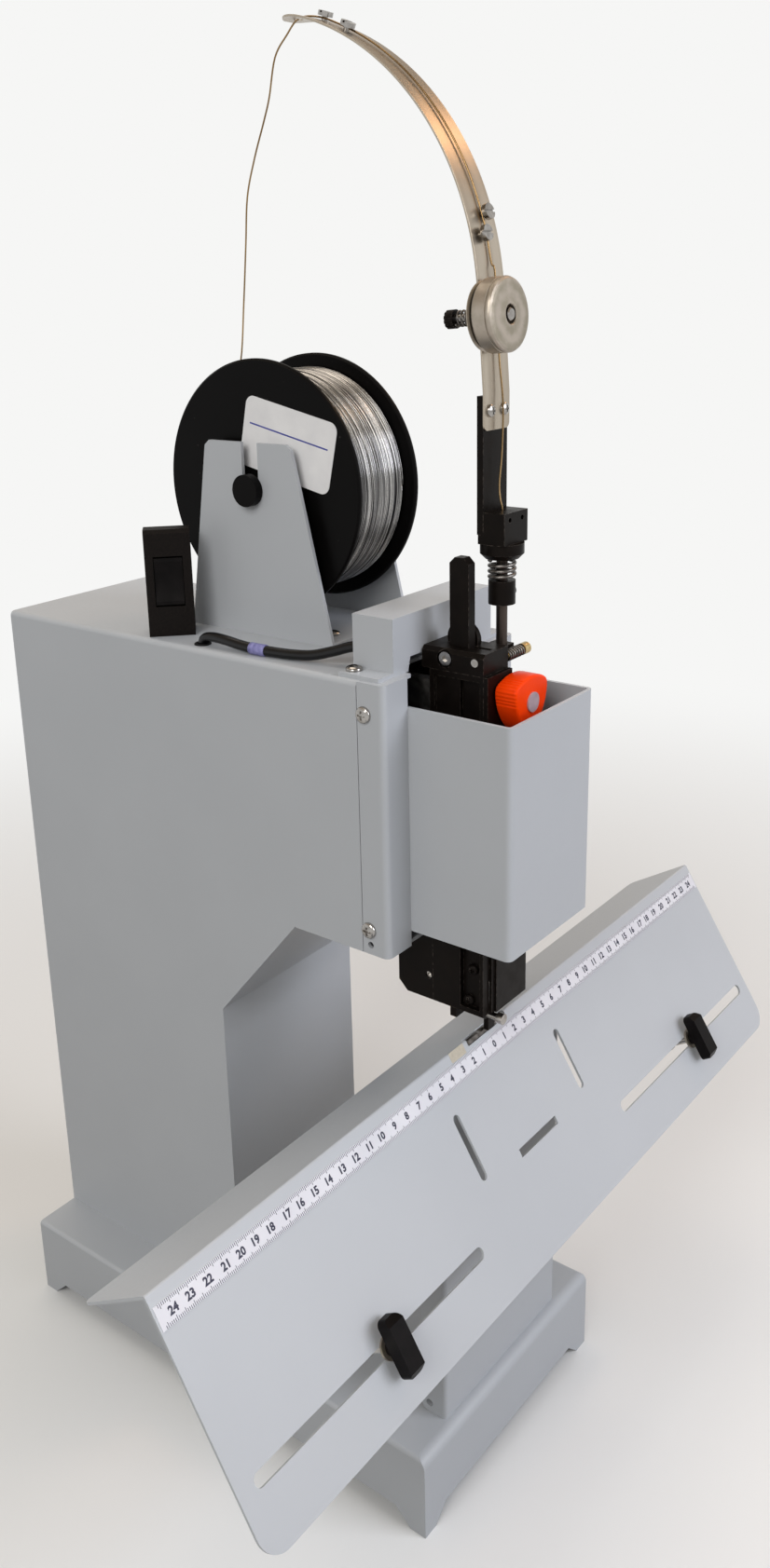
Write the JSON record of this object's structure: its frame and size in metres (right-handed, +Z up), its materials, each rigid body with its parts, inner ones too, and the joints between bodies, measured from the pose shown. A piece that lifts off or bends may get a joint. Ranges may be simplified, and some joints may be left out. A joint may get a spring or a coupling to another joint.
{
  "type": "electric wire stitcher",
  "caption": "Electric saddle wire stitcher: C-shaped sheet-steel body on a tray base, stitching head, wire spool, feed arm with tension discs, and a ridge table with ruler and stops.",
  "frame": {"origin": "on the floor under the middle of the whole machine", "axes": "+X to the operator's right, +Y to the rear, +Z up"},
  "size_m": [0.4988, 0.3649, 0.7784],
  "materials": {
    "coat": "fine-textured light grey powder coat",
    "black_steel": "black oxide",
    "inner_steel": "machined steel",
    "black_plastic": "moulded",
    "bright": "bright",
    "zinc": "dull zinc",
    "brass": "turned",
    "orange_plastic": "moulded",
    "white_film": "printed film",
    "lead_jacket": "smooth",
    "board": "circuit board"
  },
  "bodies": {
    "frame": {"base_tray": "coat", "body_shell": "coat", "throat_plate": "coat", "rear_cover": "coat", "rear_sockets": "black_plastic", "screws": "bright", "head_frame": "coat", "head_cover": "coat", "front_post": "coat", "table": "coat", "ruler": "white_film", "clincher": "inner_steel", "head_body": "black_steel", "head_front": "black_steel", "head_cap": "black_steel", "cap_fittings": "zinc", "lower_block": "black_steel", "presser_pin": "zinc", "side_spring": "inner_steel", "feed_tube": "zinc", "clamp_sleeve": "black_steel", "arm_spring": "inner_steel", "arm_holder": "black_steel", "arm_upright": "black_steel", "guide_strip": "bright", "strip_pins": "zinc", "tension_bolt": "bright", "tension_spring": "black_steel", "stitching_wire": "bright", "spool_axle": "black_plastic", "spool_bracket": "coat", "sensor_cover": "coat", "ram_sensor": "inner_steel", "sensor_lead": "lead_jacket", "switch_housing": "black_plastic", "chassis": "inner_steel", "gear_motor": "zinc", "control_board": "board"},
    "ram": {"ram_bar": "black_steel", "slide_block": "zinc", "driver": "bright"},
    "lever": {"drive_lever": "inner_steel"},
    "cam": {"drive_cam": "bright"},
    "presser": {"presser_finger": "black_steel"},
    "knob": {"adjust_knob": "orange_plastic", "knob_shaft": "zinc"},
    "side_screw": {"side_screw": "brass"},
    "spool": {"spool": "black_plastic", "winding_core": "bright", "wire_winding": "bright"},
    "discs": {"tension_discs": "zinc"},
    "nut": {"thumb_nut": "black_steel"},
    "stop_left": {"stop_nut_left": "zinc"},
    "stop_left_knob": {"stop_knob_left": "black_plastic", "stop_bolt_left": "bright"},
    "stop_right": {"stop_nut_right": "zinc"},
    "stop_right_knob": {"stop_knob_right": "black_plastic", "stop_bolt_right": "bright"},
    "rocker": {"switch_rocker": "black_plastic"}
  },
  "joints": [
    {"name": "cam_turn", "type": "hinge", "parent": "frame", "child": "cam", "pos_m": [-0.013, 0.10498, 0.35792], "axis": [1, 0, 0], "range_deg": [0, 180]},
    {"name": "lever_swing", "type": "hinge", "parent": "frame", "child": "lever", "pos_m": [0, 0.01538, 0.4], "axis": [1, 0, 0], "range_deg": [0, 15.43]},
    {"name": "ram_slide", "type": "slide", "parent": "frame", "child": "ram", "axis": [0, 0, -1], "range_m": [0, 0.036]},
    {"name": "presser_swing", "type": "hinge", "parent": "frame", "child": "presser", "pos_m": [-0.01, -0.12571, 0.2826], "axis": [0, -1, 0], "range_deg": [0, 10]},
    {"name": "knob_turn", "type": "hinge", "parent": "frame", "child": "knob", "pos_m": [0, -0.13961, 0.4564], "axis": [0, -1, 0], "range_deg": [-150, 150]},
    {"name": "side_screw_turn", "type": "hinge", "parent": "frame", "child": "side_screw", "pos_m": [0.01, -0.12971, 0.4762], "axis": [1, 0, 0], "range_deg": [-180, 180]},
    {"name": "spool_spin", "type": "hinge", "parent": "frame", "child": "spool", "pos_m": [0.0155, 0.01589, 0.55], "axis": [1, 0, 0], "continuous": true},
    {"name": "disc_spin", "type": "hinge", "parent": "frame", "child": "discs", "pos_m": [0.0035, -0.11669, 0.6367], "axis": [0, -0.9976, 0.0698], "continuous": true},
    {"name": "nut_turn", "type": "hinge", "parent": "frame", "child": "nut", "pos_m": [0.0035, -0.11669, 0.6367], "axis": [0, -0.9976, 0.0698], "range_deg": [-180, 180]},
    {"name": "stop_left_slide", "type": "slide", "parent": "frame", "child": "stop_left", "axis": [1, 0, 0], "range_m": [-0.0865, 0.0735]},
    {"name": "stop_left_turn", "type": "hinge", "parent": "stop_left", "child": "stop_left_knob", "pos_m": [-0.15, -0.17059, 0.19602], "axis": [0, -0.848, 0.5299], "range_deg": [-180, 180]},
    {"name": "stop_right_slide", "type": "slide", "parent": "frame", "child": "stop_right", "axis": [1, 0, 0], "range_m": [-0.0875, 0.0725]},
    {"name": "stop_right_turn", "type": "hinge", "parent": "stop_right", "child": "stop_right_knob", "pos_m": [0.164, -0.17059, 0.19602], "axis": [0, -0.848, 0.5299], "range_deg": [-180, 180]},
    {"name": "rocker_tilt", "type": "hinge", "parent": "frame", "child": "rocker", "pos_m": [-0.04229, 0.05709, 0.50079], "axis": [0.7071, -0.7071, 0], "range_deg": [-6, 6]}
  ],
  "couplings": [
    {"joint": "lever_swing", "follows": "cam_turn", "ratio": 0.08571},
    {"joint": "ram_slide", "follows": "cam_turn", "m_per_rad": 0.011459}
  ]
}
